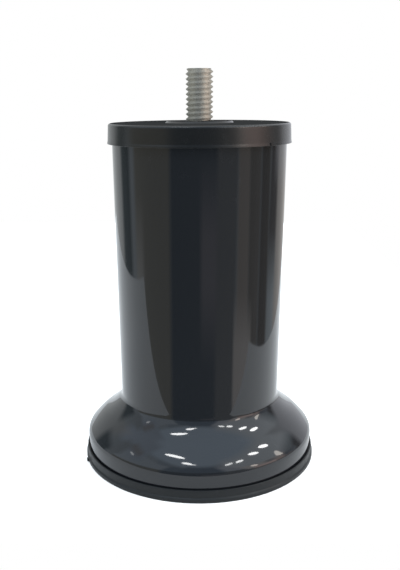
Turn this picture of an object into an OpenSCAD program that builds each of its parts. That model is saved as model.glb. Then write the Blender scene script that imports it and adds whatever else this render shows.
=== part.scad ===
// Furniture leg: a tapered hollow tube with a flared foot, closed by a push-on top cap
// and a foot pad, with one long hex bolt through all three.
// Origin at the centre of the foot pad's underside, +Z up, millimetres.

/* [Overall] */
// Height from the floor to the top face of the cap
leg_h = 102.8; // [80:0.1:200]
// Facets of the round surfaces
round_fn = 96; // [48:8:160]

/* [Shell] */
// Outside diameter of the tube at its upper rim
rim_d = 51.3; // [46:0.1:64]
// Outside diameter of the tube where the foot begins to flare
neck_d = 49; // [40:0.1:54]
// Wall of the shell
shell_wall = 2.2; // [1.4:0.1:3.2]
// Widest diameter of the flared foot
flare_d = 70.4; // [62:0.1:90]
// Height of the widest line above the floor
flare_z = 7.8; // [5.4:0.1:9]
// Radius of the roll above the widest line
roll_r = 3.3; // [3.2:0.1:6]
// Slope where the roll meets the crown of the shoulder, below the horizontal
roll_slope = 50; // [44:0.5:64]
// Slope of the shoulder where its hollow turns into its crown, the flattest
shoulder_slope = 36; // [28:0.5:40]
// Slope where the fillet under the tube meets the hollow of the shoulder
hollow_slope = 51.5; // [44:0.5:64]
// Share of the shoulder's width that belongs to the crown
crown_share = 0.53; // [0.3:0.01:0.7]
// Radius of the fillet between tube and shoulder
neck_fillet = 2.9; // [1:0.1:5]
// How far the lower edge tucks in from the widest line
tuck_in = 0.3; // [0.2:0.05:1]

/* [Foot pad] */
// Thickness of the pad under the shell
pad_t = 3; // [2.4:0.1:3.6]
// Height of the lip above the seat of the shell
pad_lip_h = 0.8; // [0.4:0.1:1.6]
// Gap between the shell's edge and the lip
pad_lip_gap = 0.25; // [0.2:0.05:0.8]
// Wall of the lip
pad_lip_t = 0.45; // [0.3:0.05:1.2]
// How far the base of the pad stands out past its lip
pad_lip_inset = 0.4; // [0.2:0.05:0.6]
// Height of the step between the base of the pad and its lip
pad_step_z = 1.7; // [1.2:0.1:2.1]
// Bevel round the bottom edge
pad_bevel = 0.3; // [0.2:0.1:0.8]
// How far the rings inside the shell stop below its widest line
pad_ring_drop = 1.2; // [0.2:0.1:1.5]
// Wall of those rings and of the ribs between them
pad_ring_t = 2; // [1.2:0.1:2.4]
// How far the ribs stop below the rings
pad_rib_drop = 0.8; // [0.3:0.1:0.8]
// Clearance between the outer ring and the shell
pad_fit = 0.15; // [0.05:0.05:0.4]
// Radius of the middle ring, to its outside
pad_mid_r = 22; // [18:0.5:25]
// Number of ribs between the boss and the outer ring
pad_ribs = 6; // [3:1:12]
// Wall of the boss round the bolt's head
pad_boss_wall = 3.5; // [2.5:0.5:5]
// Thickness of the boss above the bolt's head
pad_boss_cover = 3; // [2:0.5:5]
// Depth of the hollow in the underside
pad_hollow = 0.6; // [0.3:0.1:1]
// Width of the flat ring that stands on the floor
pad_land_w = 5; // [3:0.5:8]
// How far the gate mark stands out from the pad's edge
gate_out = 0.45; // [0.2:0.05:0.8]
// Width of the gate mark
gate_w = 1.2; // [0.6:0.1:2]
// Where the gate mark is, in degrees from +X
gate_angle = 192; // [0:1:359]

/* [Top cap] */
// Thickness of the cap's plate on the rim of the tube
cap_plate_t = 3; // [2:0.1:5]
// How far the skirt reaches down past the rim of the tube
cap_skirt_drop = 3; // [1.5:0.1:6]
// Wall of the skirt at its lower edge
cap_skirt_t = 1.2; // [0.8:0.05:2]
// How far the edge of the skirt flares out at the bottom
cap_flare = 0.15; // [0.05:0.05:0.4]
// Height of that flare
cap_flare_h = 0.8; // [0.4:0.1:1.4]
// How far the skirt leans in between the flare and the top
cap_lean = 0.2; // [0.1:0.05:0.6]
// Radius round the top edge
cap_round = 0.6; // [0.4:0.1:2]
// Clearance between the skirt and the tube
cap_skirt_fit = 0.15; // [0.05:0.05:0.4]
// Diameter of the raised disc round the bolt
disc_d = 19; // [14:0.5:26]
// Height of the raised disc
disc_h = 0.5; // [0.15:0.05:0.8]
// Depth of the collar that plugs the tube
collar_h = 10; // [6:0.5:14]
// Wall of the collar
collar_t = 2; // [1.4:0.1:2.6]
// Clearance between the collar and the tube, at the collar's lower end
collar_fit = 0.1; // [0.05:0.05:0.3]
// Diameter of the boss that guides the bolt
cap_boss_d = 19; // [14:0.5:22]
// Depth of that boss below the plate
cap_boss_h = 12; // [8:0.5:16]
// Number of ribs between boss and collar
cap_ribs = 6; // [3:1:10]
// Thickness of the cap's ribs
cap_rib_t = 1.6; // [1:0.1:2.4]
// Depth of the cap's ribs
cap_rib_h = 7; // [4:0.5:9]
// How far the flash stands out from the lower edge of the skirt
flash_out = 0.3; // [0.1:0.05:0.6]
// Where the flash is, in degrees from +X
flash_angle = 316; // [0:1:359]

/* [Bolt] */
// Major diameter of the thread
bolt_d = 7.9375; // [6:0.0005:10]
// How far the plain body of the bolt lies below the crests of its thread
body_cut = 0.42; // [0.1:0.01:0.8]
// How far above the cap the thread starts
thread_rise = 0.1; // [0.1:0.05:1]
// Height above the floor at which the head bears on the pad
head_seat_z = 10.25; // [7.6:0.05:20]
// How far the bolt stands above the top face of the cap
bolt_out = 15.4; // [10:0.1:30]
// Width of the head across flats
head_af = 12.7; // [10:0.1:16]
// Height of the head
head_h = 5.16; // [4:0.01:7]
// Bevel on the end of the bolt
bolt_bevel = 0.85; // [0.4:0.05:1.2]
// Clearance round the bolt in its bores, on the diameter
bolt_fit = 0.26; // [0.1:0.02:0.6]
// Clearance round the head, across flats
head_fit = 0.3; // [0.1:0.05:0.6]

/* [Hidden] */
over = 1;                                       // how far a cutter runs past a face
arc_steps = 12;                                 // chords in a drawn arc

rim_z = leg_h - cap_plate_t;                    // upper rim of the shell
seat_z = pad_t;                                 // lower edge of the shell
rim_r = rim_d / 2;
neck_r = neck_d / 2;
flare_r = flare_d / 2;

// From the widest line up, the outside is four arcs that meet smoothly: the roll and the crown
// bulge out, then the hollow and the fillet curve back up into the tube. The crown and the
// hollow share the width that roll and fillet leave.
function out_at(slope, r) = [r * sin(slope), r * cos(slope)];
roll_c = [flare_r - roll_r, flare_z];
fillet_x = neck_r + neck_fillet;
roll_end = roll_c + out_at(roll_slope, roll_r);
shoulder_w = roll_end[0] - (fillet_x - neck_fillet * sin(hollow_slope));
crown_r = crown_share * shoulder_w / (sin(roll_slope) - sin(shoulder_slope));
hollow_r = (1 - crown_share) * shoulder_w / (sin(hollow_slope) - sin(shoulder_slope));
crown_c = roll_end - out_at(roll_slope, crown_r);
hollow_c = crown_c + out_at(shoulder_slope, crown_r + hollow_r);
fillet_c = hollow_c + out_at(hollow_slope, neck_fillet - hollow_r);
neck_z = fillet_c[1];

// The tuck is an arc that leaves the widest line straight down and ends at the seat.
tuck_h = flare_z - seat_z;
tuck_r = (pow(tuck_h, 2) + pow(tuck_in, 2)) / (2 * tuck_in);
tuck_x = flare_r - tuck_r;

// Radius of the tube's outside at a height above the neck
function tube_r(z) = neck_r + (rim_r - neck_r) * (z - neck_z) / (rim_z - neck_z);

// Outside radius of the tuck at a height below the widest line
function tuck_at(z) = tuck_x + sqrt(pow(tuck_r, 2) - pow(flare_z - z, 2));

// Points along an arc, without its start where first is 1
function arc(centre, r, from, to, first = 0) =
    [for (i = [first:arc_steps]) let (a = from + (to - from) * i / arc_steps)
        centre + r * [cos(a), sin(a)]];

// One side of the shell's section from the rim to the widest line, set in from the outside
function shell_side(inset) = concat(
    [[rim_r - inset, rim_z]],
    arc(fillet_c, neck_fillet + inset, 180, 270 - hollow_slope),
    arc(hollow_c, hollow_r + inset, 270 - hollow_slope, 270 - shoulder_slope, 1),
    arc(crown_c, crown_r - inset, 90 - shoulder_slope, 90 - roll_slope, 1),
    arc(roll_c, roll_r - inset, 90 - roll_slope, 0, 1));

// Below the widest line the outside tucks in, and the inside runs straight down
shell_tuck = arc([tuck_x, flare_z], tuck_r, 0, -asin(tuck_h / tuck_r), 1);

function reversed(list) = [for (i = [len(list) - 1:-1:0]) list[i]];

edge_in_r = flare_r - shell_wall;               // shell's lower edge, inside
lip_z = seat_z + pad_lip_h;
lip_in_r = tuck_at(lip_z) + pad_lip_gap;
lip_out_r = lip_in_r + pad_lip_t;
pad_r = lip_out_r + pad_lip_inset;
pad_ring_r = edge_in_r - pad_fit;
pad_ring_z = flare_z - pad_ring_drop;
pad_rib_z = pad_ring_z - pad_rib_drop;

bolt_r = bolt_d / 2;
bolt_top_z = leg_h + bolt_out;
body_r = bolt_r - body_cut;
thread_z = leg_h + disc_h + thread_rise;        // where the thread starts
head_bottom_z = head_seat_z - head_h;
head_corner_r = head_af / 2 / cos(30);
pocket_corner_r = (head_af + head_fit) / 2 / cos(30);
bore_r = (bolt_d + bolt_fit) / 2;
pad_boss_r = pocket_corner_r + pad_boss_wall;
pad_boss_z = head_seat_z + pad_boss_cover;
head_chamfer = head_corner_r - head_af / 2;     // corners are cut back to the flats

cap_low_z = rim_z - cap_skirt_drop;
collar_z = rim_z - collar_h;
collar_r = tube_r(collar_z) - shell_wall - collar_fit;
skirt_in_r = rim_r + cap_skirt_fit;
skirt_r = skirt_in_r + cap_skirt_t;             // at the lower edge
cap_side_r = skirt_r - cap_flare;               // just above the flare
cap_top_r = cap_side_r - cap_lean;

module ring(outer_r, inner_r, z0, z1) {
    translate([0, 0, z0]) difference() {
        cylinder(r = outer_r, h = z1 - z0, $fn = round_fn);
        translate([0, 0, -over]) cylinder(r = inner_r, h = z1 - z0 + 2 * over, $fn = round_fn);
    }
}

// Ribs that run from the centre outward, evenly spaced
module ribs(count, length, thickness, z0, z1) {
    for (i = [0:count - 1])
        rotate([0, 0, i * 360 / count])
            translate([0, -thickness / 2, z0]) cube([length, thickness, z1 - z0]);
}

module hex_prism(corner_r, z0, z1) {
    translate([0, 0, z0]) cylinder(r = corner_r, h = z1 - z0, $fn = 6);
}

module shell() {
    color([0.07, 0.07, 0.08])
        rotate_extrude($fn = round_fn)
            polygon(concat(shell_side(0), shell_tuck, [[edge_in_r, seat_z]],
                           reversed(shell_side(shell_wall))));
}

module pad_outline() {
    polygon([
        [0, 0], [pad_r - pad_bevel, 0], [pad_r, pad_bevel], [pad_r, pad_step_z],
        [lip_out_r, pad_step_z + pad_lip_inset], [lip_out_r, lip_z],
        [lip_in_r, lip_z], [lip_in_r, seat_z], [0, seat_z]]);
}

module gate_mark() {
    gate_root = pad_lip_t / 2;                  // how deep the mark is rooted in the lip
    rotate([0, 0, gate_angle])
        translate([lip_out_r - gate_root, -gate_w / 2, pad_step_z])
            cube([gate_root + gate_out, gate_w, seat_z - pad_step_z]);
}

module base_pad() {
    rib_reach = pad_ring_r - pad_ring_t / 2;
    color([0.17, 0.18, 0.18]) difference() {
        union() {
            rotate_extrude($fn = round_fn) pad_outline();
            ring(pad_ring_r, pad_ring_r - pad_ring_t, seat_z - over, pad_ring_z);
            ring(pad_mid_r, pad_mid_r - pad_ring_t, seat_z - over, pad_ring_z);
            cylinder(r = pad_boss_r, h = pad_boss_z, $fn = round_fn);
            ribs(pad_ribs, rib_reach, pad_ring_t, seat_z - over, pad_rib_z);
            gate_mark();
        }
        ring(pad_r - pad_land_w, pad_boss_r, -over, pad_hollow);
        hex_prism(pocket_corner_r, -over, head_seat_z);
        translate([0, 0, -over]) cylinder(r = bore_r, h = pad_boss_z + 2 * over, $fn = round_fn);
    }
}

module cap_outline() {
    polygon(concat(
        [[0, rim_z], [0, leg_h + disc_h], [disc_d / 2, leg_h + disc_h], [disc_d / 2 + disc_h, leg_h]],
        arc([cap_top_r - cap_round, leg_h - cap_round], cap_round, 90, 0),
        [[cap_side_r, cap_low_z + cap_flare_h], [skirt_r, cap_low_z],
         [skirt_in_r, cap_low_z], [skirt_in_r, rim_z]]));
}

module flash() {
    flash_w = 1.8;                              // along the edge of the skirt
    flash_t = 0.35;                             // in height
    flash_root = cap_skirt_t / 2;               // how deep it is rooted in the skirt
    rotate([0, 0, flash_angle])
        translate([skirt_r - flash_root, -flash_w / 2, cap_low_z])
            cube([flash_root + flash_out, flash_w, flash_t]);
}

module top_cap() {
    color([0.1, 0.1, 0.1]) difference() {
        union() {
            rotate_extrude($fn = round_fn) cap_outline();
            ring(collar_r, collar_r - collar_t, collar_z, rim_z + over);
            translate([0, 0, rim_z - cap_boss_h])
                cylinder(d = cap_boss_d, h = cap_boss_h + over, $fn = round_fn);
            ribs(cap_ribs, collar_r - collar_t / 2, cap_rib_t, rim_z - cap_rib_h, rim_z + over);
            flash();
        }
        translate([0, 0, rim_z - cap_boss_h - over])
            cylinder(r = bore_r, h = leg_h, $fn = round_fn);
    }
}

module bolt() {
    color([0.62, 0.61, 0.59]) union() {
        intersection() {
            hex_prism(head_corner_r, head_bottom_z, head_seat_z);
            rotate_extrude($fn = round_fn) polygon([
                [0, head_bottom_z], [head_af / 2, head_bottom_z],
                [head_corner_r + head_chamfer, head_bottom_z + 2 * head_chamfer * tan(30)],
                [head_corner_r + head_chamfer, head_seat_z], [0, head_seat_z]]);
        }
        rotate_extrude($fn = round_fn) polygon([
            [0, head_seat_z - over], [body_r, head_seat_z - over],
            [body_r, thread_z - body_cut], [bolt_r, thread_z],
            [bolt_r, bolt_top_z - bolt_bevel], [bolt_r - bolt_bevel, bolt_top_z],
            [0, bolt_top_z]]);
    }
}

shell();
top_cap();
bolt();
base_pad();
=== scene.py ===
import math

import bmesh
import bpy
from bpy.props import FloatProperty, FloatVectorProperty, IntProperty, PointerProperty
from mathutils import Matrix, Quaternion, Vector


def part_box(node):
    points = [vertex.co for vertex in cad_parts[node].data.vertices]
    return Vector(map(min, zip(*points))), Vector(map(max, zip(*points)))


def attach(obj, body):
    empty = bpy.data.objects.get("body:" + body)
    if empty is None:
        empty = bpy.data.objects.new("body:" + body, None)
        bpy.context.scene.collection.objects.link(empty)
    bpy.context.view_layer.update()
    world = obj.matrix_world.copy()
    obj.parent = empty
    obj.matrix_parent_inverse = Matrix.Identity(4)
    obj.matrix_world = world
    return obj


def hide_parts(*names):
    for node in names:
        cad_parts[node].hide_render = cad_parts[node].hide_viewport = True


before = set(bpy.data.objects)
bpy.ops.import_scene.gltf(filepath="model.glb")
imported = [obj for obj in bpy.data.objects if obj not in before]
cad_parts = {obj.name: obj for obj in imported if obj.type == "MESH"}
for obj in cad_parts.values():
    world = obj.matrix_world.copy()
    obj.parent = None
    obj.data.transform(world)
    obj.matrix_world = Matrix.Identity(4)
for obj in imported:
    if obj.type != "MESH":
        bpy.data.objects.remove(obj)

bl_info = {
    "name": "Sofa Leg",
    "version": (1, 0, 0),
    "blender": (4, 5, 0),
    "location": "View3D > Sidebar > Sofa Leg",
    "description": "Builds a moulded sofa leg with its cap, foot pad and threaded bolt",
    "category": "Add Mesh",
}

MM = 0.001
TURN = 2 * math.pi
SAME = 1e-6                      # points nearer than this are one
HEX_SLOPE = math.radians(30)     # half a hexagon's corner, and the chamfer on the bolt's head
RIB_SINK = 0.5 * MM              # how far ribs reach into what they join
HEAD_CONE = 0.95                 # the head's flat circle, as a share of its half width
SHANK_FILLET = 0.4 * MM
CREST_FLAT = 1 / 8               # flat on the thread's crests and roots, in pitches
BODY = "root"

SHELL_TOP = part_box("shell")[1].z
SHELL_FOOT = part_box("shell")[0].z
FLARE_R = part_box("shell")[1].x
CAP_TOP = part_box("top_cap")[1].z
BOLT_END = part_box("bolt")[1].z
HEAD_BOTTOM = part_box("bolt")[0].z


# ---------------- sizes and colours

def length(name, description, millimetres):
    """A size in millimetres, kept in metres."""
    return FloatProperty(name=name, description=description, default=millimetres * MM,
                         min=0.0, unit="LENGTH", subtype="DISTANCE", precision=4)


def angle(name, description, degrees):
    return FloatProperty(name=name, description=description, default=math.radians(degrees),
                         unit="ROTATION", subtype="ANGLE")


def count(name, description, number, lowest=1):
    return IntProperty(name=name, description=description, default=number, min=lowest)


def tint(name, description, rgb):
    return FloatVectorProperty(name=name, description=description, default=rgb, size=3,
                               min=0.0, max=1.0, subtype="COLOR")


def factor(name, description, value):
    return FloatProperty(name=name, description=description, default=value, min=0.0,
                         max=1.0, subtype="FACTOR")


class ShellSizes(bpy.types.PropertyGroup):
    """Sizes of the tube and its flared foot"""
    rim_d: length("Rim Diameter", "Outside diameter of the tube at its upper rim", 51.3)
    neck_d: length("Neck Diameter", "Outside diameter where the foot begins", 49.0)
    wall: length("Wall", "Thickness of the moulding", 2.2)
    flare_z: length("Widest Height", "Height of the widest line", 7.8)
    roll_r: length("Roll", "Radius of the roll above the widest line", 3.3)
    roll_slope: angle("Roll Slope", "Slope where the roll meets the crown", 50.0)
    slope: angle("Shoulder Slope", "Slope where the hollow turns into the crown", 36.0)
    hollow_slope: angle("Hollow Slope", "Slope where the fillet meets the hollow", 51.5)
    crown_share: factor("Crown Share", "Share of the shoulder that is crown", 0.53)
    fillet: length("Neck Fillet", "Radius between tube and shoulder", 2.9)
    tuck: length("Tuck", "How far the lower edge tucks in", 0.3)
    segments: count("Segments", "Facets round the shell", 240, 24)


class CapSizes(bpy.types.PropertyGroup):
    """Sizes of the cap on the tube"""
    skirt_drop: length("Skirt Drop", "How far the skirt reaches past the rim", 2.75)
    skirt_t: length("Skirt Wall", "Wall of the skirt at its lower edge", 1.2)
    flare: length("Flare", "How far the skirt's edge flares out", 0.15)
    flare_h: length("Flare Height", "Height of the flare", 0.8)
    lean: length("Lean", "How far the skirt leans in above the flare", 0.2)
    round: length("Round", "Radius round the top edge", 0.7)
    skirt_fit: length("Skirt Fit", "Clearance round the tube", 0.15)
    disc_d: length("Disc Diameter", "Raised disc round the bolt", 19.0)
    disc_h: length("Disc Height", "Height of the raised disc", 0.5)
    collar_h: length("Collar Height", "Depth of the collar below the plate", 10.0)
    collar_t: length("Collar Wall", "Wall of the collar inside the tube", 2.0)
    collar_fit: length("Collar Fit", "Clearance between collar and tube", 0.1)
    boss_d: length("Boss Diameter", "Boss that guides the bolt", 19.0)
    boss_h: length("Boss Height", "Depth of the boss below the plate", 12.0)
    rib_t: length("Rib", "Thickness of the ribs", 1.6)
    rib_h: length("Rib Height", "Depth of the ribs", 7.0)
    ribs: count("Ribs", "Ribs between boss and collar", 6)
    lift: length("Lift", "How far the cap stands off the rim in the middle", 0.2)
    tilt: length("Tilt", "How much further it stands off at the right-hand edge", 0.2)
    flash_out: length("Flash", "How far the flash stands out at the skirt's edge", 0.15)
    flash_w: length("Flash Width", "Width of the flash along the edge", 1.0)
    flash_angle: angle("Flash Angle", "Where the flash is", 316.0)
    segments: count("Segments", "Facets round the cap", 240, 24)


class PadSizes(bpy.types.PropertyGroup):
    """Sizes of the foot pad"""
    lip_h: length("Lip Height", "Height of the lip above the seat", 0.8)
    lip_gap: length("Lip Gap", "Gap between the shell's edge and the lip", 0.25)
    lip_t: length("Lip Wall", "Wall of the lip", 0.45)
    lip_inset: length("Lip Inset", "How far the base stands out past the lip", 0.4)
    step_z: length("Step Height", "Height of the step below the lip", 1.2)
    bevel: length("Bevel", "Bevel round the bottom edge", 0.3)
    ring_drop: length("Ring Drop", "How far the rings stop below the widest line", 1.2)
    ring_t: length("Ring Wall", "Wall of the rings and ribs", 2.0)
    rib_drop: length("Rib Drop", "How far the ribs stop below the rings", 0.8)
    fit: length("Ring Fit", "Clearance between outer ring and shell", 0.15)
    mid_r: length("Middle Ring", "Outside radius of the middle ring", 22.0)
    ribs: count("Ribs", "Ribs between the rings", 6)
    boss_wall: length("Boss Wall", "Wall of the boss round the bolt's head", 3.5)
    boss_cover: length("Boss Cover", "Thickness of the boss above the head", 3.0)
    hollow: length("Hollow", "Depth of the hollow underneath", 0.6)
    land_w: length("Land", "Width of the ring that stands on the floor", 5.0)
    gate_out: length("Gate Mark", "How far the gate mark stands out", 0.45)
    gate_w: length("Gate Width", "Width of the gate mark", 1.5)
    gate_angle: angle("Gate Angle", "Where the gate mark is", 197.0)
    segments: count("Segments", "Facets round the pad", 240, 24)


class BoltSizes(bpy.types.PropertyGroup):
    """Sizes of the bolt and its thread"""
    major_d: length("Major Diameter", "Over the crests of the thread", 7.9375)
    pitch: length("Pitch", "From one thread to the next", 25.4 / 18)
    depth: length("Thread Depth", "From crest to root", 0.66)
    rise: length("Thread Rise", "How far above the cap the thread starts", 0.1)
    body_cut: length("Body Cut", "How far the plain body lies below the crests", 0.42)
    start: factor("Thread Start", "Where the thread starts, as a share of a turn", 0.62)
    bevel: length("End Bevel", "Bevel on the end", 0.45)
    head_af: length("Across Flats", "Width of the head", 12.7)
    head_h: length("Head Height", "Height of the head", 5.16)
    bore_fit: length("Bore Fit", "Clearance of the bores, on the diameter", 0.26)
    head_fit: length("Head Fit", "Clearance round the head, across flats", 0.3)
    segments: count("Segments", "Facets round the thread", 96, 24)


class Finishes(bpy.types.PropertyGroup):
    """Colours and gloss of the mouldings and the steel"""
    shell: tint("Shell", "Gloss black of the tube and foot", (0.0115, 0.0125, 0.0145))
    shell_rough: factor("Shell Roughness", "Roughness of the gloss black", 0.05)
    cap: tint("Cap", "Satin black of the cap", (0.0065, 0.0062, 0.0056))
    cap_rough: factor("Cap Roughness", "Roughness of the cap", 0.26)
    cap_gloss: factor("Cap Gloss", "Gloss of the cap's side; its grained top has none", 0.46)
    pad: tint("Pad", "Dark grey of the foot pad", (0.0100, 0.0112, 0.0118))
    pad_rough: factor("Pad Roughness", "Roughness of the foot pad", 0.42)
    pad_gloss: factor("Pad Gloss", "Gloss of the foot pad", 0.28)
    zinc: tint("Zinc", "Zinc plating on the bolt", (0.42, 0.395, 0.335))
    zinc_rough: factor("Zinc Roughness", "Roughness of the plating", 0.52)
    thread_soft: factor("Thread Softness", "How much the thread's worn flanks even out", 0.85)


class StageSizes(bpy.types.PropertyGroup):
    """Camera, floor board and light"""
    camera_back: length("Camera Distance", "How far the camera stands in front", 226.9)
    camera_side: length("Camera Side", "How far the camera stands to the right", 0.15)
    camera_height: length("Camera Height", "Height of the camera above the floor", 110.3)
    camera_pitch: angle("Camera Pitch", "How far the camera looks down", 13.93)
    lens: FloatProperty(name="Lens", description="Focal length of the camera", default=47.95,
                        unit="CAMERA")
    lamp_distance: length("Lamp Distance", "From the leg to the lamps", 1200.0)
    room: tint("Room", "Level of the room in front of the leg", (0.71, 0.80, 0.86))


SETTINGS = {"leg_shell": ShellSizes, "leg_cap": CapSizes, "leg_pad": PadSizes,
            "leg_bolt": BoltSizes, "leg_finish": Finishes, "leg_stage": StageSizes}


# ---------------- node trees

class Wiring:
    """Adds nodes to a tree and links them: a socket is linked, anything else is a value."""

    def __init__(self, tree):
        self.tree = tree

    def add(self, kind, *values, out=0, **given):
        node = self.tree.nodes.new(kind)
        names = {k: v for k, v in given.items() if hasattr(node, k)}
        for key, value in names.items():
            setattr(node, key, value)
        for i, value in enumerate(values):
            self.feed(node.inputs[i], value)
        for key, value in given.items():
            if key not in names:
                self.feed(node.inputs[key.replace("_", " ")], value)
        return node.outputs[out] if node.outputs else node

    def feed(self, socket, value):
        if value is None:
            return
        if isinstance(value, bpy.types.NodeSocket):
            self.tree.links.new(value, socket)
        else:
            socket.default_value = value

    def math(self, operation, *values):
        return self.add("ShaderNodeMath", *values, operation=operation)

    def clamp01(self, value):
        return self.add("ShaderNodeClamp", value, 0.0, 1.0)

    def mix(self, share, first, second):
        """first where share is 0, second where it is 1; for numbers."""
        return self.math("MULTIPLY_ADD", share, self.math("SUBTRACT", second, first), first)

    def blend(self, share, first, second, kind="RGBA"):
        """The same for colours, or with kind VECTOR for directions."""
        node = self.tree.nodes.new("ShaderNodeMix")
        node.data_type = kind
        start, out = {"RGBA": (6, 2), "VECTOR": (4, 1)}[kind]
        for i, value in ((0, share), (start, first), (start + 1, second)):
            self.feed(node.inputs[i], value)
        return node.outputs[out]

    def split(self, vector):
        """The X, Y and Z of a vector."""
        node = self.tree.nodes.new("ShaderNodeSeparateXYZ")
        self.feed(node.inputs[0], vector)
        return node.outputs


def new_group(kind, name, inputs, outputs):
    """An empty node group with named sockets: (name, socket type, default)."""
    tree = bpy.data.node_groups.new(name, kind)
    for way, sockets in (("INPUT", inputs), ("OUTPUT", outputs)):
        for socket_name, socket_type, *default in sockets:
            socket = tree.interface.new_socket(socket_name, in_out=way, socket_type=socket_type)
            if default:
                socket.default_value = default[0]
    source, sink = tree.nodes.new("NodeGroupInput"), tree.nodes.new("NodeGroupOutput")
    return tree, Wiring(tree), source.outputs, sink.inputs


SHAPE = "NodeSocketGeometry"
NUMBER = "NodeSocketFloat"
COUNT = "NodeSocketInt"
COLOUR = "NodeSocketColor"
FINISH = "NodeSocketMaterial"


def finish_tree(w, shape, material, sink, sharp=math.radians(34)):
    """Smooth faces with sharp steep edges, as real geometry with its material."""
    shape = w.add("GeometryNodeSetShadeSmooth", shape, True, True, domain="FACE")
    steep = w.add("GeometryNodeInputMeshEdgeAngle", out=0)
    steep = w.add("FunctionNodeCompare", data_type="FLOAT", operation="GREATER_THAN",
                  A=steep, B=sharp)
    shape = w.add("GeometryNodeSetShadeSmooth", shape, steep, False, domain="EDGE")
    shape = w.add("GeometryNodeRealizeInstances", shape)
    shape = w.add("GeometryNodeSetMaterial", shape, True, material)
    w.feed(sink["Geometry"], shape)


def grid_of(w, across, along):
    """A grid whose points count 0, 1, 2 ... both ways, and those two counts."""
    grid = w.add("GeometryNodeMeshGrid", across, along,
                 w.math("ADD", across, 1.0), w.math("ADD", along, 1.0))
    place = w.split(w.add("GeometryNodeInputPosition"))
    counts = [w.math("ROUND", w.math("MULTIPLY_ADD", n, 0.5, place[i]))
              for i, n in enumerate((across, along))]
    return grid, counts[0], counts[1]


def round_the_axis(w, shape, radius, turn, height):
    """Puts the grid's points at that radius, angle and height."""
    x = w.math("MULTIPLY", radius, w.math("COSINE", turn))
    y = w.math("MULTIPLY", radius, w.math("SINE", turn))
    place = w.add("ShaderNodeCombineXYZ", x, y, height)
    return w.add("GeometryNodeSetPosition", shape, True, place)


def turned_solid_tree():
    """Turns a closed or open outline round the axis. The outline's points carry their radius
    in X and height in Z, hex is 1 where the section is a hexagon over its flats, and
    chamfer is the radius at which a 30 degree cone cuts the hexagon's corners."""
    tree, w, source, sink = new_group(
        "GeometryNodeTree", "Turned Solid",
        [("Geometry", SHAPE), ("Segments", COUNT, 240), ("Closed", "NodeSocketBool", True),
         ("Material", FINISH)],
        [("Geometry", SHAPE)])
    points = w.add("GeometryNodeAttributeDomainSize", source["Geometry"], component="MESH")
    rows = w.math("SUBTRACT", points, w.math("SUBTRACT", 1.0, source["Closed"]))
    grid, column, row = grid_of(w, source["Segments"], rows)
    row = w.math("FLOORED_MODULO", row, points)

    def sampled(value, kind):
        return w.add("GeometryNodeSampleIndex", source["Geometry"], value, row,
                     data_type=kind, domain="POINT")

    place = w.split(sampled(w.add("GeometryNodeInputPosition"), "FLOAT_VECTOR"))
    hexed, cone = (
        sampled(w.add("GeometryNodeInputNamedAttribute", label, data_type="FLOAT"), "FLOAT")
        for label in ("hex", "chamfer"))
    turn = w.math("DIVIDE", w.math("MULTIPLY", column, TURN), source["Segments"])
    off_flat = w.math("SUBTRACT", w.math("FLOORED_MODULO", turn, TURN / 6), TURN / 12)
    radius = w.math("DIVIDE", place[0], w.mix(hexed, 1.0, w.math("COSINE", off_flat)))
    cut = w.math("MULTIPLY", w.math("SUBTRACT", radius, cone), math.tan(HEX_SLOPE))
    cut = w.math("MULTIPLY", cut, w.math("GREATER_THAN", cone, 0.0))
    height = w.math("ADD", place[2], cut)
    shape = round_the_axis(w, grid, radius, turn, height)
    shape = w.add("GeometryNodeMergeByDistance", shape, True, SAME)
    finish_tree(w, shape, source["Material"], sink)
    return tree


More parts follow.
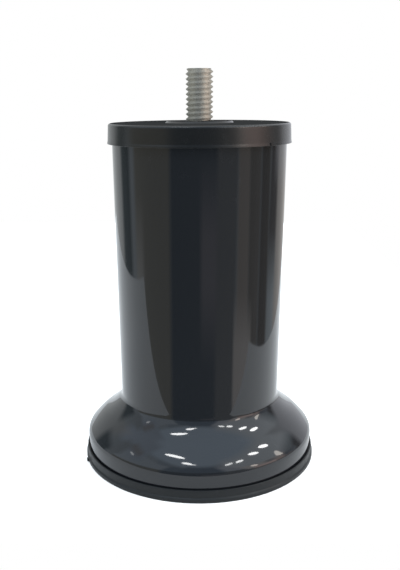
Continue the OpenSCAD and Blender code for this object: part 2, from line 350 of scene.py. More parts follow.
def screw_thread_tree():
    """A right-hand 60 degree thread on a shank. The outline holds one pitch: X is how far a
    point stands out, from 0 at the root to 1 at the crest, and Z is its place in the pitch."""
    tree, w, source, sink = new_group(
        "GeometryNodeTree", "Screw Thread",
        [("Geometry", SHAPE), ("Segments", COUNT, 96), ("Pitch", NUMBER, 0.00141),
         ("Start", NUMBER, 0.0),
         ("Bottom", NUMBER, 0.0), ("Top", NUMBER, 0.02), ("Crest Radius", NUMBER, 0.004),
         ("Depth", NUMBER, 0.0008), ("Body Radius", NUMBER, 0.0035),
         ("End Bevel", NUMBER, 0.00085), ("Run Out", NUMBER, 0.001), ("Material", FINISH)],
        [("Geometry", SHAPE)])
    points = w.add("GeometryNodeAttributeDomainSize", source["Geometry"], component="MESH")
    span = w.math("SUBTRACT", source["Top"], source["Bottom"])
    turns = w.math("ADD", w.math("CEIL", w.math("DIVIDE", span, source["Pitch"])), 2.0)
    grid, column, row = grid_of(w, source["Segments"], w.math("MULTIPLY", turns, points))
    local = w.math("FLOORED_MODULO", row, points)
    place = w.split(w.add("GeometryNodeSampleIndex", source["Geometry"],
                          w.add("GeometryNodeInputPosition"), local,
                          data_type="FLOAT_VECTOR", domain="POINT"))
    share = w.math("DIVIDE", column, source["Segments"])
    lift = w.math("ADD", w.math("FLOOR", w.math("DIVIDE", row, points)), place[2])
    lift = w.math("ADD", w.math("ADD", lift, share), w.math("SUBTRACT", source["Start"], 1.0))
    height = w.math("MULTIPLY_ADD", lift, source["Pitch"], source["Bottom"])
    height = w.math("MINIMUM", w.math("MAXIMUM", height, source["Bottom"]), source["Top"])
    started = w.clamp01(w.math("DIVIDE", w.math("SUBTRACT", height, source["Bottom"]),
                               source["Run Out"]))
    sunk = w.math("SUBTRACT", 1.0, place[0])
    radius = w.math("SUBTRACT", source["Crest Radius"],
                    w.math("MULTIPLY", sunk, source["Depth"]))
    radius = w.mix(started, source["Body Radius"], radius)
    sunk = w.math("MULTIPLY", sunk, started)
    cone = w.math("SUBTRACT", w.math("ADD", source["Crest Radius"],
                                     w.math("SUBTRACT", source["Top"], height)),
                  source["End Bevel"])
    radius = w.math("MINIMUM", radius, cone)
    last = w.math("GREATER_THAN", row, w.math("SUBTRACT", w.math("MULTIPLY", turns, points),
                                              0.5))
    radius = w.math("MULTIPLY", radius, w.math("SUBTRACT", 1.0, last))
    shape = round_the_axis(w, grid, radius, w.math("MULTIPLY", share, TURN), height)
    shape = w.add("GeometryNodeStoreNamedAttribute", shape, True, "root", sunk,
                  data_type="FLOAT", domain="POINT")
    shape = w.add("GeometryNodeMergeByDistance", shape, True, SAME)
    finish_tree(w, shape, source["Material"], sink, math.radians(60))
    return tree


def rib_ring_tree():
    """Ribs set evenly round the axis, each a plain bar from one radius to another."""
    tree, w, source, sink = new_group(
        "GeometryNodeTree", "Rib Ring",
        [("Geometry", SHAPE), ("Count", COUNT, 6), ("Inner Radius", NUMBER, 0.01),
         ("Outer Radius", NUMBER, 0.02), ("Thickness", NUMBER, 0.002),
         ("Bottom", NUMBER, 0.0), ("Top", NUMBER, 0.005), ("Material", FINISH)],
        [("Geometry", SHAPE)])
    size = w.add("ShaderNodeCombineXYZ",
                 w.math("SUBTRACT", source["Outer Radius"], source["Inner Radius"]),
                 source["Thickness"], w.math("SUBTRACT", source["Top"], source["Bottom"]))
    centre = w.add("ShaderNodeCombineXYZ",
                   w.math("MULTIPLY", w.math("ADD", source["Outer Radius"],
                                             source["Inner Radius"]), 0.5), 0.0,
                   w.math("MULTIPLY", w.math("ADD", source["Top"], source["Bottom"]), 0.5))
    bar = w.add("GeometryNodeTransform", w.add("GeometryNodeMeshCube", size, 2, 2, 2),
                Translation=centre)
    spots = w.add("GeometryNodeMeshLine", Count=source["Count"], Offset=(0.0, 0.0, 0.0))
    index = w.add("GeometryNodeInputIndex")
    turn = w.math("DIVIDE", w.math("MULTIPLY", index, TURN), source["Count"])
    turn = w.add("ShaderNodeCombineXYZ", 0.0, 0.0, turn)
    ribs = w.add("GeometryNodeInstanceOnPoints", spots, True, bar,
                 Rotation=w.add("FunctionNodeEulerToRotation", turn))
    shape = w.add("GeometryNodeRealizeInstances", ribs)
    shape = w.add("GeometryNodeSetMaterial", shape, True, source["Material"])
    w.feed(sink["Geometry"], shape)
    return tree


def linked(name, data):
    """A new object in the scene."""
    made = bpy.data.objects.new(name, data)
    bpy.context.scene.collection.objects.link(made)
    return made


def grown(name, tree_maker, outline=(), **values):
    """The plain mesh that a tree makes from an outline and its named inputs."""
    mesh = bpy.data.meshes.new(name)
    mesh.from_pydata([(p[0], 0.0, p[1]) for p in outline], [], [])
    for attribute, column in (("hex", 3), ("chamfer", 4)):
        layer = mesh.attributes.new(attribute, "FLOAT", "POINT")
        for i, p in enumerate(outline):
            layer.data[i].value = p[column] if len(p) > column else 0.0
    maker = linked(name + "_maker", mesh)
    label = tree_maker.__name__
    tree = bpy.data.node_groups.get(label) or tree_maker()
    tree.name = label
    modifier = maker.modifiers.new("Shape", "NODES")
    modifier.node_group = tree
    sockets = {s.name: s.identifier for s in tree.interface.items_tree
               if s.item_type == "SOCKET" and s.in_out == "INPUT"}
    for key, value in values.items():
        modifier[sockets[key.replace("_", " ")]] = value
    evaluated = maker.evaluated_get(bpy.context.evaluated_depsgraph_get())
    made = bpy.data.meshes.new_from_object(evaluated)
    maker.modifiers.remove(modifier)
    bpy.data.objects.remove(maker)
    return made


# ---------------- outlines

def corner(radius, height, ease=0.0, hexed=0.0, chamfer=0.0):
    """A point of an outline: its radius, its height and how much its corner is rounded."""
    return (radius, height, ease, hexed, chamfer)


def arc(centre, radius, start, end, steps=16, first=0):
    """Points along an arc, angles in radians."""
    turns = [start + (end - start) * i / steps for i in range(first, steps + 1)]
    return [corner(centre[0] + radius * math.cos(t), centre[1] + radius * math.sin(t))
            for t in turns]


def eased(outline, steps=3, most=0.48):
    """The outline with its marked corners rounded. A corner takes up no more than that share
    of the straight part beside it."""
    made = []
    for i, point in enumerate(outline):
        ease = point[2]
        if not ease:
            made.append(point)
            continue
        here = Vector(point[:2])
        back = Vector(outline[i - 1][:2]) - here
        ahead = Vector(outline[(i + 1) % len(outline)][:2]) - here
        half = back.angle(ahead) / 2
        reach = min(ease / math.tan(half), most * back.length, most * ahead.length)
        start, end = here + back.normalized() * reach, here + ahead.normalized() * reach
        for k in range(steps + 1):
            t = k / steps
            spot = start * (1 - t) ** 2 + here * 2 * t * (1 - t) + end * t ** 2
            made.append(corner(spot.x, spot.y, 0.0, *point[3:]))
    return made


def braced(outline, reach=0.6 * MM):
    """The closed outline with points near both ends of its long straight parts, which keep
    the shading of its rounded corners off them."""
    made = []
    for point, following in zip(outline, outline[1:] + outline[:1]):
        made.append(point)
        here, ahead = Vector(point[:2]), Vector(following[:2])
        gap = (ahead - here).length
        if gap > 4 * reach and point[3:] == following[3:]:
            for share in (reach / gap, 1 - reach / gap):
                spot = here.lerp(ahead, share)
                made.append(corner(spot.x, spot.y, 0.0, *point[3:]))
    return made


def shoulder_arcs(s):
    """Centres and radii of the arcs from the tube down to the widest line: the fillet and
    the hollow curve in, the crown and the roll bulge out."""
    def out_at(slope, radius):
        return Vector((radius * math.sin(slope), radius * math.cos(slope)))

    roll = Vector((FLARE_R - s.roll_r, s.flare_z))
    roll_end = roll + out_at(s.roll_slope, s.roll_r)
    width = roll_end.x - s.neck_d / 2 - s.fillet * (1 - math.sin(s.hollow_slope))
    crown_r = s.crown_share * width / (math.sin(s.roll_slope) - math.sin(s.slope))
    hollow_r = (1 - s.crown_share) * width / (math.sin(s.hollow_slope) - math.sin(s.slope))
    crown = roll_end - out_at(s.roll_slope, crown_r)
    hollow = crown + out_at(s.slope, crown_r + hollow_r)
    fillet = hollow + out_at(s.hollow_slope, s.fillet - hollow_r)
    return (fillet, s.fillet), (hollow, hollow_r), (crown, crown_r), (roll, s.roll_r)


def shell_side(s, inset):
    """Outline of one side of the shell from the rim to the widest line."""
    fillet, hollow, crown, roll = shoulder_arcs(s)
    level, down = math.pi / 2, 1.5 * math.pi
    return ([corner(s.rim_d / 2 - inset, SHELL_TOP, 0.25 * MM)]
            + arc(fillet[0], fillet[1] + inset, math.pi, down - s.hollow_slope, 10)
            + arc(hollow[0], hollow[1] + inset, down - s.hollow_slope, down - s.slope, 20, 1)
            + arc(crown[0], crown[1] - inset, level - s.slope, level - s.roll_slope, 20, 1)
            + arc(roll[0], roll[1] - inset, level - s.roll_slope, 0.0, 14, 1))


def tuck_arc(s):
    """Centre and radius of the arc below the widest line, and how far it drops."""
    drop = s.flare_z - SHELL_FOOT
    radius = (drop ** 2 + s.tuck ** 2) / (2 * s.tuck)
    return (FLARE_R - radius, s.flare_z), radius, drop


def shell_outline(s):
    centre, radius, drop = tuck_arc(s)
    tuck = arc(centre, radius, 0.0, -math.asin(drop / radius), 8)[1:-1]
    soft = 0.2 * MM
    return braced(eased(shell_side(s, 0.0) + tuck
                        + [corner(FLARE_R - s.tuck, SHELL_FOOT, soft),
                           corner(FLARE_R - s.wall, SHELL_FOOT, soft)]
                        + shell_side(s, s.wall)[::-1]))


def lip_inner_radius(s, p):
    """The pad's lip stands round the shell's lower edge at a small gap."""
    centre, radius, drop = tuck_arc(s)
    return centre[0] + math.sqrt(radius ** 2 - (drop - p.lip_h) ** 2) + p.lip_gap


def pad_outline(s, p, b):
    seat = SHELL_FOOT
    lip_in = lip_inner_radius(s, p)
    lip_out = lip_in + p.lip_t
    pad_r = lip_out + p.lip_inset
    lip_z = seat + p.lip_h
    ring_r = FLARE_R - s.wall - p.fit
    ring_z = s.flare_z - p.ring_drop
    flat = (b.head_af + b.head_fit) / 2
    boss_r = flat / math.cos(HEX_SLOPE) + p.boss_wall
    boss_z = HEAD_BOTTOM + b.head_h + p.boss_cover
    bore = (b.major_d + b.bore_fit) / 2
    land = pad_r - p.land_w
    soft, fine = 0.2 * MM, 0.1 * MM
    return braced(eased([
        corner(flat, 0.0, soft, 1.0), corner(boss_r, 0.0, soft), corner(boss_r, p.hollow, fine),
        corner(land, p.hollow, fine), corner(land, 0.0, soft),
        corner(pad_r - p.bevel, 0.0, fine), corner(pad_r, p.bevel, soft),
        corner(pad_r, p.step_z, fine), corner(lip_out, p.step_z + p.lip_inset, fine),
        corner(lip_out, lip_z, soft), corner(lip_in, lip_z, fine), corner(lip_in, seat, fine),
        corner(ring_r, seat, soft), corner(ring_r, ring_z, soft),
        corner(ring_r - p.ring_t, ring_z, soft), corner(ring_r - p.ring_t, seat, soft),
        corner(p.mid_r, seat, soft), corner(p.mid_r, ring_z, soft),
        corner(p.mid_r - p.ring_t, ring_z, soft), corner(p.mid_r - p.ring_t, seat, soft),
        corner(boss_r, seat, soft), corner(boss_r, boss_z, soft), corner(bore, boss_z, soft),
        corner(bore, HEAD_BOTTOM + b.head_h, fine),
        corner(flat, HEAD_BOTTOM + b.head_h, 0.0, 1.0)]))


def cap_outline(s, c, b):
    top = CAP_TOP - c.disc_h
    rim_r = s.rim_d / 2
    inner = rim_r + c.skirt_fit
    skirt_r = inner + c.skirt_t
    side_r = skirt_r - c.flare
    top_r = side_r - c.lean
    low = SHELL_TOP - c.skirt_drop
    neck_z = shoulder_arcs(s)[0][0].y
    collar_low = SHELL_TOP - c.collar_h
    tube_r = (s.neck_d / 2 + (rim_r - s.neck_d / 2)
              * (collar_low - neck_z) / (SHELL_TOP - neck_z))
    collar_r = tube_r - s.wall - c.collar_fit
    bore = (b.major_d + b.bore_fit) / 2
    boss_z = SHELL_TOP - c.boss_h
    soft, fine = 0.2 * MM, 0.08 * MM
    return braced(eased([
        corner(bore, CAP_TOP, fine), corner(c.disc_d / 2, CAP_TOP, fine),
        corner(c.disc_d / 2 + c.disc_h, top, fine)]
        + arc((top_r - c.round, top - c.round), c.round, math.pi / 2, 0.0, 10)
        + [corner(side_r, low + c.flare_h, 0.4 * MM), corner(skirt_r, low, fine),
           corner(inner, low, fine),
           corner(inner, SHELL_TOP, fine), corner(collar_r, SHELL_TOP, fine),
           corner(collar_r, collar_low, soft), corner(collar_r - c.collar_t, collar_low, soft),
           corner(collar_r - c.collar_t, SHELL_TOP, soft), corner(c.boss_d / 2, SHELL_TOP, soft),
           corner(c.boss_d / 2, boss_z, soft), corner(bore, boss_z, soft)])), collar_r


# ---------------- pieces

def joined(name, *meshes):
    """One mesh of one finish from several, with coincident points merged."""
    shape = bmesh.new()
    for mesh in meshes:
        shape.from_mesh(mesh)
    bmesh.ops.remove_doubles(shape, verts=shape.verts, dist=SAME)
    for face in shape.faces:
        face.material_index = 0
    made = meshes[0].copy()
    shape.to_mesh(made)
    finish = made.materials[-1]
    made.materials.clear()
    made.materials.append(finish)
    shape.free()
    made.name = name
    for mesh in meshes:
        bpy.data.meshes.remove(mesh)
    return made


def nub(turn, radius, out, width, low, high, material):
    """A small mark that stands out from a round wall and tapers to its end."""
    mesh = bpy.data.meshes.new("nub")
    corners = [(reach, side * half * width, height)
               for reach, half in ((radius - out, 0.5), (radius + out, 0.3))
               for side in (-1, 1) for height in (low, high)]
    mesh.from_pydata(corners, [], [(0, 1, 3, 2), (4, 6, 7, 5), (0, 4, 5, 1), (2, 3, 7, 6),
                                   (0, 2, 6, 4), (1, 5, 7, 3)])
    mesh.transform(Matrix.Rotation(turn, 4, "Z"))
    mesh.materials.append(material)
    return outward(mesh)


def outward(mesh):
    """Faces of a closed mesh turned to point out."""
    shape = bmesh.new()
    shape.from_mesh(mesh)
    bmesh.ops.recalc_face_normals(shape, faces=shape.faces)
    if shape.calc_volume(signed=True) < 0:
        bmesh.ops.reverse_faces(shape, faces=shape.faces)
    shape.to_mesh(mesh)
    shape.free()
    return mesh


def place(name, mesh, node, slot):
    """A finished piece that stands for a node of the frame."""
    piece = linked(name, mesh)
    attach(piece, BODY)
    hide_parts(node)
    return piece


# ---------------- finishes

DUST = (0.08, 0.085, 0.09, 1.0)
CAP_SCUFF = (0.06, 0.06, 0.058, 1.0)
# painted sheen: the lighter colour of the cap's top face, in place of its reflection
CAP_TOP_SHEEN = (0.030, 0.030, 0.029, 1.0)
PAD_SCUFF = (0.10, 0.105, 0.108, 1.0)
# painted shade: the darker colour laid into the thread's roots
THREAD_ROOT_SHADE = (0.16, 0.15, 0.14, 1.0)
BRIGHT_ZINC = (0.46, 0.44, 0.39, 1.0)


def finish_material(name, **principled):
    """A material, its wiring and the inputs of its Principled shader, with constants set."""
    material = bpy.data.materials.new(name)
    material.use_nodes = True
    shader = material.node_tree.nodes["Principled BSDF"].inputs
    for key, value in principled.items():
        shader[key.replace("_", " ")].default_value = value
    return material, Wiring(material.node_tree), shader


def above(w, value, level, gain):
    """0 to 1 from the level up, or with a negative gain from the level down."""
    return w.clamp01(w.math("MULTIPLY_ADD", value, gain, -gain * level))


def surface(w, shader, vary, rough, swing, relief, strength, depth, worn=0.0, normal=None):
    """Roughness that swings with the mask vary and rises by worn, and a bump from the mask
    relief."""
    rough = w.math("MULTIPLY_ADD", vary, 2 * swing, rough - swing)
    w.feed(shader["Roughness"], w.math("ADD", rough, worn))
    w.feed(shader["Normal"], w.add("ShaderNodeBump", Strength=strength, Distance=depth,
                                   Height=relief, Normal=normal))


def moulded_skin_group():
    """The skin of a moulding: fine grain, slow swell and handling scuffs, as masks."""
    tree, w, source, sink = new_group(
        "ShaderNodeTree", "Moulded Skin",
        [("Grain Scale", NUMBER, 2500.0), ("Swell Scale", NUMBER, 90.0),
         ("Scuff Scale", NUMBER, 140.0)],
        [("Grain", NUMBER), ("Swell", NUMBER), ("Scuffs", NUMBER)])
    where = w.add("ShaderNodeTexCoord", out=3)
    grain = w.add("ShaderNodeTexNoise", where, Scale=source["Grain Scale"], Detail=3.0)
    w.feed(sink["Grain"], grain)
    swell = w.add("ShaderNodeTexNoise", where, Scale=source["Swell Scale"], Detail=1.0)
    w.feed(sink["Swell"], swell)
    drawn = w.add("ShaderNodeMapping", where, Rotation=(0.5, 0.3, 0.8), Scale=(1.0, 6.0, 1.4))
    lines = w.add("ShaderNodeTexNoise", drawn, Scale=source["Scuff Scale"], Detail=5.0,
                  Roughness=0.62)
    patches = w.add("ShaderNodeTexNoise", where, Scale=38.0, Detail=2.0)
    worn = w.math("MULTIPLY", above(w, lines, 0.6, 9.0), above(w, patches, 0.45, 4.0))
    w.feed(sink["Scuffs"], worn)
    return tree


def skin_of(w, **values):
    """The masks of the moulded skin, with its named inputs set."""
    tree = bpy.data.node_groups.get("Moulded Skin") or moulded_skin_group()
    node = w.tree.nodes.new("ShaderNodeGroup")
    node.node_tree = tree
    for key, value in values.items():
        node.inputs[key.replace("_", " ")].default_value = value
    return node.outputs


def gloss_black(f):
    material, w, shader = finish_material("gloss_black_plastic", IOR=1.5)
    skin = skin_of(w, Swell_Scale=70.0)
    dusty = w.math("MULTIPLY", skin["Scuffs"], 0.12)
    w.feed(shader["Base Color"], w.blend(dusty, (*f.shell, 1.0), DUST))
    surface(w, shader, skin["Grain"], f.shell_rough, 0.02, relief=skin["Swell"],
            strength=0.25, depth=0.04 * MM, worn=w.math("MULTIPLY", skin["Scuffs"], 0.10))
    return material


def satin_black(f):
    material, w, shader = finish_material("satin_black_plastic", IOR=1.5)
    skin = skin_of(w, Grain_Scale=3200.0, Swell_Scale=120.0)
    scuffed = w.math("MULTIPLY", skin["Scuffs"], 0.25)
    colour = w.blend(scuffed, (*f.cap, 1.0), CAP_SCUFF)
    surface(w, shader, skin["Swell"], f.cap_rough, 0.06, relief=skin["Grain"],
            strength=0.35, depth=0.02 * MM, worn=w.math("MULTIPLY", skin["Scuffs"], 0.08))
    normal = w.split(w.add("ShaderNodeNewGeometry", out=1))
    side = above(w, normal[2], 0.9714, -14.0)
    w.feed(shader["Specular IOR Level"], w.math("MULTIPLY", side, f.cap_gloss))
    # painted sheen: the top face, with its gloss off, takes a lighter colour than the side
    w.feed(shader["Base Color"], w.blend(side, CAP_TOP_SHEEN, colour))
    return material


def pad_plastic(f):
    material, w, shader = finish_material("dark_grey_plastic", IOR=1.5,
                                          Specular_IOR_Level=f.pad_gloss)
    skin = skin_of(w, Grain_Scale=2200.0, Swell_Scale=150.0, Scuff_Scale=200.0)
    scuffed = w.math("MULTIPLY", skin["Scuffs"], 0.55)
    w.feed(shader["Base Color"], w.blend(scuffed, (*f.pad, 1.0), PAD_SCUFF))
    surface(w, shader, skin["Swell"], f.pad_rough, 0.08, relief=skin["Grain"],
            strength=0.5, depth=0.03 * MM, worn=w.math("MULTIPLY", skin["Scuffs"], 0.12))
    return material


def zinc_plate(f):
    material, w, shader = finish_material("zinc_plated_steel", Metallic=0.65)
    skin = skin_of(w, Grain_Scale=4200.0, Swell_Scale=260.0)
    root = w.add("ShaderNodeAttribute", attribute_name="root", attribute_type="GEOMETRY",
                 out=2)
    # painted shade: the zinc darkens towards the thread's roots, by the root depth
    colour = w.blend(w.math("MULTIPLY", root, 0.3), (*f.zinc, 1.0), THREAD_ROOT_SHADE)
    colour = w.blend(w.math("MULTIPLY", skin["Swell"], 0.35), colour, BRIGHT_ZINC)
    w.feed(shader["Base Color"], colour)
    axis_out = w.add("ShaderNodeVectorMath", w.add("ShaderNodeTexCoord", out=3),
                     (1.0, 1.0, 0.0), operation="MULTIPLY")
    axis_out = w.add("ShaderNodeVectorMath", axis_out, operation="NORMALIZE")
    soft = w.blend(f.thread_soft, w.add("ShaderNodeNewGeometry", out=1), axis_out, "VECTOR")
    surface(w, shader, skin["Grain"], f.zinc_rough, 0.10, relief=skin["Grain"],
            strength=0.4, depth=0.03 * MM, normal=soft)
    return material


# ---------------- operators

class LEG_OT_shell(bpy.types.Operator):
    """Turn the gloss black tube with its flared foot"""
    bl_idname = "leg.shell"
    bl_label = "Shell"

    def execute(self, context):
        scene = context.scene
        mesh = grown("shell", turned_solid_tree, shell_outline(scene.leg_shell),
                     Segments=scene.leg_shell.segments,
                     Closed=True, Material=gloss_black(scene.leg_finish))
        place("leg_shell", outward(mesh), "shell", "gloss_black_shell")
        return {"FINISHED"}


class LEG_OT_cap(bpy.types.Operator):
    """Turn the satin black cap and set its ribs"""
    bl_idname = "leg.cap"
    bl_label = "Top Cap"

    def execute(self, context):
        scene = context.scene
        c = scene.leg_cap
        finish = satin_black(scene.leg_finish)
        outline, collar_r = cap_outline(scene.leg_shell, c, scene.leg_bolt)
        body = grown("cap", turned_solid_tree, outline, Segments=c.segments, Closed=True,
                     Material=finish)
        ribs = grown("cap_ribs", rib_ring_tree, Count=c.ribs,
                     Inner_Radius=c.boss_d / 2 - RIB_SINK,
                     Outer_Radius=collar_r - c.collar_t / 2, Thickness=c.rib_t,
                     Bottom=SHELL_TOP - c.rib_h, Top=SHELL_TOP + RIB_SINK, Material=finish)
        skirt_r = scene.leg_shell.rim_d / 2 + c.skirt_fit + c.skirt_t
        low = SHELL_TOP - c.skirt_drop
        flash = nub(c.flash_angle, skirt_r, c.flash_out, c.flash_w, low, low + c.flare_h, finish)
        mesh = joined("cap", outward(body), ribs, flash)
        for vertex in mesh.vertices:
            vertex.co.z += c.lift + c.tilt * vertex.co.x / skirt_r
        place("top_cap_moulding", mesh, "top_cap", "satin_black_cap")
        return {"FINISHED"}


class LEG_OT_pad(bpy.types.Operator):
    """Turn the foot pad with its hex pocket and set its ribs"""
    bl_idname = "leg.pad"
    bl_label = "Foot Pad"

    def execute(self, context):
        scene = context.scene
        s, p, b = scene.leg_shell, scene.leg_pad, scene.leg_bolt
        finish = pad_plastic(scene.leg_finish)
        body = grown("pad", turned_solid_tree, pad_outline(s, p, b), Segments=p.segments,
                     Closed=True, Material=finish)
        ring_r = FLARE_R - s.wall - p.fit
        boss_r = (b.head_af + b.head_fit) / 2 / math.cos(HEX_SLOPE) + p.boss_wall
        ribs = grown("pad_ribs", rib_ring_tree, Count=p.ribs,
                     Inner_Radius=boss_r - RIB_SINK, Outer_Radius=ring_r - p.ring_t / 2,
                     Thickness=p.ring_t, Bottom=SHELL_FOOT - RIB_SINK,
                     Top=s.flare_z - p.ring_drop - p.rib_drop, Material=finish)
        pad_r = lip_inner_radius(s, p) + p.lip_t + p.lip_inset
        gate = nub(p.gate_angle, pad_r, p.gate_out, p.gate_w, p.bevel, p.step_z, finish)
        mesh = joined("pad", outward(body), ribs, gate)
        place("foot_pad", mesh, "base_pad", "dark_grey_pad")
        return {"FINISHED"}


class LEG_OT_bolt(bpy.types.Operator):
    """Turn the bolt's head and shank and cut its thread"""
    bl_idname = "leg.bolt"
    bl_label = "Bolt"

    def execute(self, context):
        scene = context.scene
        b = scene.leg_bolt
        finish = zinc_plate(scene.leg_finish)
        bottom, seat = HEAD_BOTTOM, HEAD_BOTTOM + b.head_h
        flat, crest = b.head_af / 2, b.major_d / 2
        shank = crest - b.body_cut
        thread_start = CAP_TOP + b.rise - b.body_cut
        cone = HEAD_CONE * flat
        outline = eased([
            corner(0.0, bottom), corner(cone, bottom, 0.15 * MM),
            corner(flat, bottom, 0.0, 1.0, cone), corner(flat, seat, 0.0, 1.0),
            corner(shank + SHANK_FILLET, seat), corner(shank, seat + SHANK_FILLET),
            corner(shank, thread_start)])
        shaft = grown("bolt", turned_solid_tree, outline, Segments=b.segments, Closed=False,
                      Material=finish)
        tooth = [(0.0, 0.0), (0.0, CREST_FLAT), (1.0, 0.5), (1.0, 0.5 + CREST_FLAT)]
        thread = grown("thread", screw_thread_tree, tooth, Segments=b.segments,
                       Pitch=b.pitch, Start=b.start, Bottom=thread_start, Top=BOLT_END,
                       Crest_Radius=crest, Depth=b.depth, Body_Radius=shank,
                       End_Bevel=b.bevel, Run_Out=2 * b.body_cut, Material=finish)
        mesh = outward(joined("bolt", shaft, thread))
        place("through_bolt", mesh, "bolt", "zinc_plated_bolt")
        return {"FINISHED"}


def soft_card_group():
    """Lays a card's colour over the directions within half a width of its centre and
    between two elevations, with soft edges. A slanted card leans sideways by that many
    degrees for each degree up. All angles are in degrees."""
    tree, w, source, sink = new_group(
        "ShaderNodeTree", "Soft Card",
        [("Azimuth", NUMBER, 0.0), ("Elevation", NUMBER, 0.0),
         ("Under", COLOUR, (0.0, 0.0, 0.0, 1.0)), ("Card", COLOUR, (1.0, 1.0, 1.0, 1.0)),
         ("Centre", NUMBER, 0.0), ("Half Width", NUMBER, 10.0), ("Low", NUMBER, -90.0),
         ("High", NUMBER, 90.0), ("Feather", NUMBER, 5.0), ("Slant", NUMBER, 0.0)],
        [("Colour", COLOUR)])

    def inside(value, edge):
        """0 below the edge and 1 above it."""
        step = w.math("DIVIDE", w.math("SUBTRACT", value, edge), source["Feather"])
        return w.clamp01(w.math("ADD", step, 0.5))

    off = w.math("SUBTRACT", source["Azimuth"],
                 w.math("MULTIPLY_ADD", source["Slant"], source["Elevation"],
                        source["Centre"]))
    off = w.math("ABSOLUTE", w.math("WRAP", off, 180.0, -180.0))
    mask = w.math("MULTIPLY", w.math("SUBTRACT", 1.0, inside(off, source["Half Width"])),
                  w.math("MULTIPLY", inside(source["Elevation"], source["Low"]),
                         w.math("SUBTRACT", 1.0,
                                inside(source["Elevation"], source["High"]))))
    w.feed(sink["Colour"], w.blend(mask, source["Under"], source["Card"]))
    return tree


WHITE = (1.0, 1.0, 1.0, 1.0)
BOARD = (-0.25, 0.13, -0.055, 0.45)          # left, right, front and back edge
BOARD_COLOUR = (0.95, 0.94, 0.91, 1.0)
BOARD_GLOW, BOARD_SEEN_GLOW = 0.10, 0.35     # its own light, and more where the camera sees it
LAMP_AIM = 30 * MM                           # height that the lamps point at

# name, colour, azimuth, half width, lowest, highest elevation, feather, slant
SKY_CARDS = (
    ("ceiling", (1.23, 1.50, 1.80), 0, 182, 52, 90, 6, 0),
    ("far_wall", (0.44, 0.56, 0.70), -21, 29, 10, 51, 6, -0.1),
    ("left_wall", (1.06, 1.21, 1.36), -68, 32, 10, 49, 6, 0),
    ("left_ceiling", (0.95, 1.11, 1.32), -97, 30, 37, 64, 8, -0.1),
    ("left_beam", (0.80, 0.80, 0.83), -87, 10, 42, 49, 5, 0),
    ("left_floor", (0.55, 0.54, 0.47), -67, 30, -90, 10, 6, 0),
    ("doorway", (0.37, 0.48, 0.62), 1, 24, 10, 54, 6, 0.1),
    ("front_floor", (0.17, 0.21, 0.25), -5, 33, -90, 10, 6, 0.1),
    ("front_mat", (0.47, 0.46, 0.51), 19, 17, -19, -9, 6, 0),
    ("right_wall", (1.33, 1.43, 1.59), 44, 18, 12, 54, 8, -0.1),
    ("right_floor", (0.38, 0.40, 0.41), 38, 14, -90, 10, 6, 0.1),
    ("right_window", (1.87, 1.81, 1.76), 64, 17, 1, 46, 6, -0.2),
    ("right_step", (0.76, 0.69, 0.62), 61, 9, -90, -1.5, 4, 0),
    ("right_rug", (0.40, 0.37, 0.32), 76, 8, -90, -1.5, 4, -0.1),
    ("right_curtain", (1.05, 1.04, 1.06), 79, 12, 1, 40, 6, 0.1),
    ("right_stool", (0.42, 0.39, 0.35), 83, 4, -90, -1.5, 3, 0),
    ("right_pane", (1.76, 1.59, 1.51), 89, 8, 7, 37, 6, 0),
    ("right_blind", (2.60, 2.00, 1.85), 67, 13, -1, 13, 4, 0),
    ("right_blind_edge", (1.75, 1.32, 1.18), 91, 11, 0, 13, 4, 0),
    ("side_floor", (0.23, 0.21, 0.18), 97, 9, -90, -1.5, 5, 0),
    ("side_chest", (0.42, 0.46, 0.52), 104, 14, 2, 22, 6, 0.1),
    ("side_shadow", (0.20, 0.19, 0.18), 119, 11, -13, 23, 5, 0.2),
    ("left_sill", (0.92, 0.92, 0.88), -93, 12, -90, -11, 6, 0),
    ("right_sill", (1.30, 1.24, 1.20), 62, 14, -90, -18, 4, 0),
    ("right_ceiling", (1.67, 1.81, 1.93), 103, 40, 30, 57, 9, -0.6),
    ("backdrop_top", (1.10, 1.12, 1.14), 180, 62, 34, 92, 14, 0),
    ("right_backdrop_foot", (0.78, 0.75, 0.72), 145, 20, -90, -2, 6, 0),
    ("right_backdrop", (1.11, 1.14, 1.22), 151, 33, -4, 38, 7, 0.2),
    ("left_backdrop", (0.82, 0.86, 0.87), -152, 32, -90, 38, 7, 0),
    ("left_post", (0.72, 0.80, 0.86), -100, 6, -90, 44, 6, 0),
    ("left_shadow", (0.19, 0.23, 0.24), -114, 10, -17, 26, 7, -0.1),
)

PLAIN = (1.0, 1.0, 1.0)
# name, azimuth, elevation, length, height and turn (degrees), radiance, colour
LAMPS = (
    ("lamp_left_high", -40, 61.3, 16, 2.8, 10, 22.0, PLAIN),
    ("lamp_left_front", -17.5, 56.0, 8, 2.4, 0, 20.0, PLAIN),
    ("lamp_left_middle", -9, 55.2, 5, 1.2, 0, 12.0, PLAIN),
    ("lamp_right_front", 37.5, 50.8, 7, 1.8, 0, 15.0, PLAIN),
    ("lamp_right_next", 51.5, 49.5, 7, 2.2, -10, 18.0, PLAIN),
    ("lamp_right_mid", 74, 48.3, 9, 2.8, -35, 24.0, PLAIN),
    ("lamp_right_side", 91.5, 45.5, 9, 3.2, -45, 26.0, PLAIN),
    ("lamp_warm_side", 91.5, 28, 6, 13, 0, 6.0, (1.0, 0.93, 0.84)),
    ("lamp_warm_front", 55, 20, 7, 15, 0, 6.5, (1.0, 0.87, 0.79)),
    ("lamp_left_far", -84, 39, 5, 2, 0, 3.0, PLAIN),
)


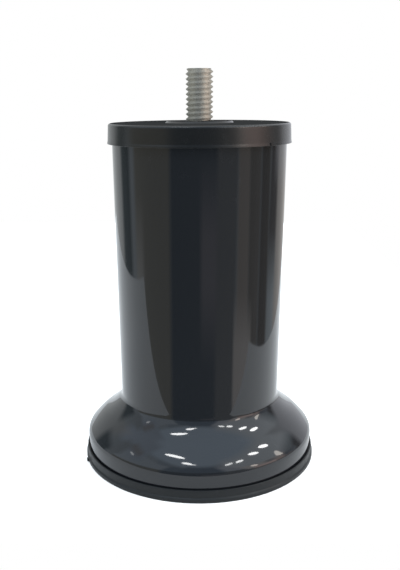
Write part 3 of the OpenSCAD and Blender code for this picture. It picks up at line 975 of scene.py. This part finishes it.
class LEG_OT_stage(bpy.types.Operator):
    """Set up the camera, the pale floor board, the room's light and the lamps"""
    bl_idname = "leg.stage"
    bl_label = "Stage"

    def execute(self, context):
        t = context.scene.leg_stage
        camera_data = bpy.data.cameras.new("leg_camera")
        camera_data.lens, camera_data.sensor_width = t.lens, 36.0
        camera = linked("leg_camera", camera_data)
        camera.location = (t.camera_side, -t.camera_back, t.camera_height)
        camera.rotation_euler = (math.pi / 2 - t.camera_pitch, 0.0, 0.0)
        context.scene.camera = camera
        camera_data.clip_start, camera_data.clip_end = 0.01, 50.0
        context.scene.view_settings.view_transform = "Standard"
        self.floor()
        self.room(context.scene, t.room)
        self.lamps(t.lamp_distance)
        return {"FINISHED"}

    def floor(self):
        left, right, front, back = BOARD
        mesh = bpy.data.meshes.new("floor_board")
        mesh.from_pydata([(left, front, 0), (right, front, 0), (right, back, 0),
                          (left, back, 0)], [], [(0, 1, 2, 3)])
        floor = linked("floor_board", mesh)
        material = bpy.data.materials.new("pale_board")
        material.use_nodes = True
        w = Wiring(material.node_tree)
        nodes = material.node_tree.nodes
        nodes.clear()
        matt = w.add("ShaderNodeBsdfDiffuse", BOARD_COLOUR)
        seen = w.add("ShaderNodeLightPath", out=0)
        lift = w.add("ShaderNodeEmission", WHITE,
                     w.math("MULTIPLY_ADD", seen, BOARD_SEEN_GLOW, BOARD_GLOW))
        board = w.add("ShaderNodeAddShader", matt, lift)
        under = w.add("ShaderNodeNewGeometry", out=6)
        clear = w.add("ShaderNodeBsdfTransparent")
        board = w.add("ShaderNodeMixShader", under, board, clear)
        w.add("ShaderNodeOutputMaterial", board)
        mesh.materials.append(material)

    def room(self, scene, base):
        world = bpy.data.worlds.new("studio")
        world.use_nodes = True
        scene.world = world
        w = Wiring(world.node_tree)
        nodes = world.node_tree.nodes
        nodes.clear()
        x, y, z = w.split(w.add("ShaderNodeTexCoord", out=0))
        az = w.math("DEGREES", w.math("ARCTAN2", x, w.math("MULTIPLY", y, -1.0)))
        el = w.math("DEGREES", w.math("ARCSINE", z))
        cards = soft_card_group()
        colour = (*base, 1.0)
        for name, light, *extent in SKY_CARDS:
            card = nodes.new("ShaderNodeGroup")
            card.node_tree, card.label = cards, name
            values = (az, el, colour, (*light, 1.0), *extent)
            for socket, value in zip(card.inputs, values):
                w.feed(socket, value)
            colour = card.outputs[0]
        plain = w.add("ShaderNodeLightPath", out=0)
        colour = w.blend(plain, colour, WHITE)
        glow = w.add("ShaderNodeBackground", colour, 1.0)
        w.add("ShaderNodeOutputWorld", glow)

    def lamps(self, distance):
        aim = Vector((0.0, 0.0, LAMP_AIM))
        for name, az, el, wide, high, turn, radiance, colour in LAMPS:
            a, e = math.radians(az), math.radians(el)
            away = Vector((math.sin(a) * math.cos(e), -math.cos(a) * math.cos(e), math.sin(e)))
            data = bpy.data.lights.new(name, "AREA")
            data.shape = "ELLIPSE"
            data.size = 2 * distance * math.tan(math.radians(wide) / 2)
            data.size_y = 2 * distance * math.tan(math.radians(high) / 2)
            area = math.pi / 4 * data.size * data.size_y
            data.energy = radiance * math.pi * area
            data.color = colour
            lamp = linked(name, data)
            lamp.location = aim + away * distance
            facing = away.to_track_quat("Z", "Y")
            facing.rotate(Quaternion(away, math.radians(turn)))
            lamp.rotation_euler = facing.to_euler()
            lamp.visible_camera = False


STEPS = (LEG_OT_stage, LEG_OT_shell, LEG_OT_pad, LEG_OT_cap, LEG_OT_bolt)


class LEG_PT_panel(bpy.types.Panel):
    """The leg's pieces and its stage, in the order in which they are made"""
    bl_idname = "LEG_PT_panel"
    bl_label = "Sofa Leg"
    bl_space_type = "VIEW_3D"
    bl_region_type = "UI"
    bl_category = "Sofa Leg"

    def draw(self, context):
        for step in STEPS:
            self.layout.operator(step.bl_idname)
        for key, group in SETTINGS.items():
            box = self.layout.box()
            for name in group.__annotations__:
                box.prop(getattr(context.scene, key), name)


CLASSES = (*SETTINGS.values(), *STEPS, LEG_PT_panel)


def register():
    for cls in CLASSES:
        bpy.utils.register_class(cls)
    for key, group in SETTINGS.items():
        setattr(bpy.types.Scene, key, PointerProperty(type=group))


def unregister():
    for key in SETTINGS:
        delattr(bpy.types.Scene, key)
    for cls in reversed(CLASSES):
        bpy.utils.unregister_class(cls)


def main():
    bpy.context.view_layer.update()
    register()
    for step in STEPS:
        group, name = step.bl_idname.split(".")
        getattr(getattr(bpy.ops, group), name)()


if __name__ == "__main__":
    main()
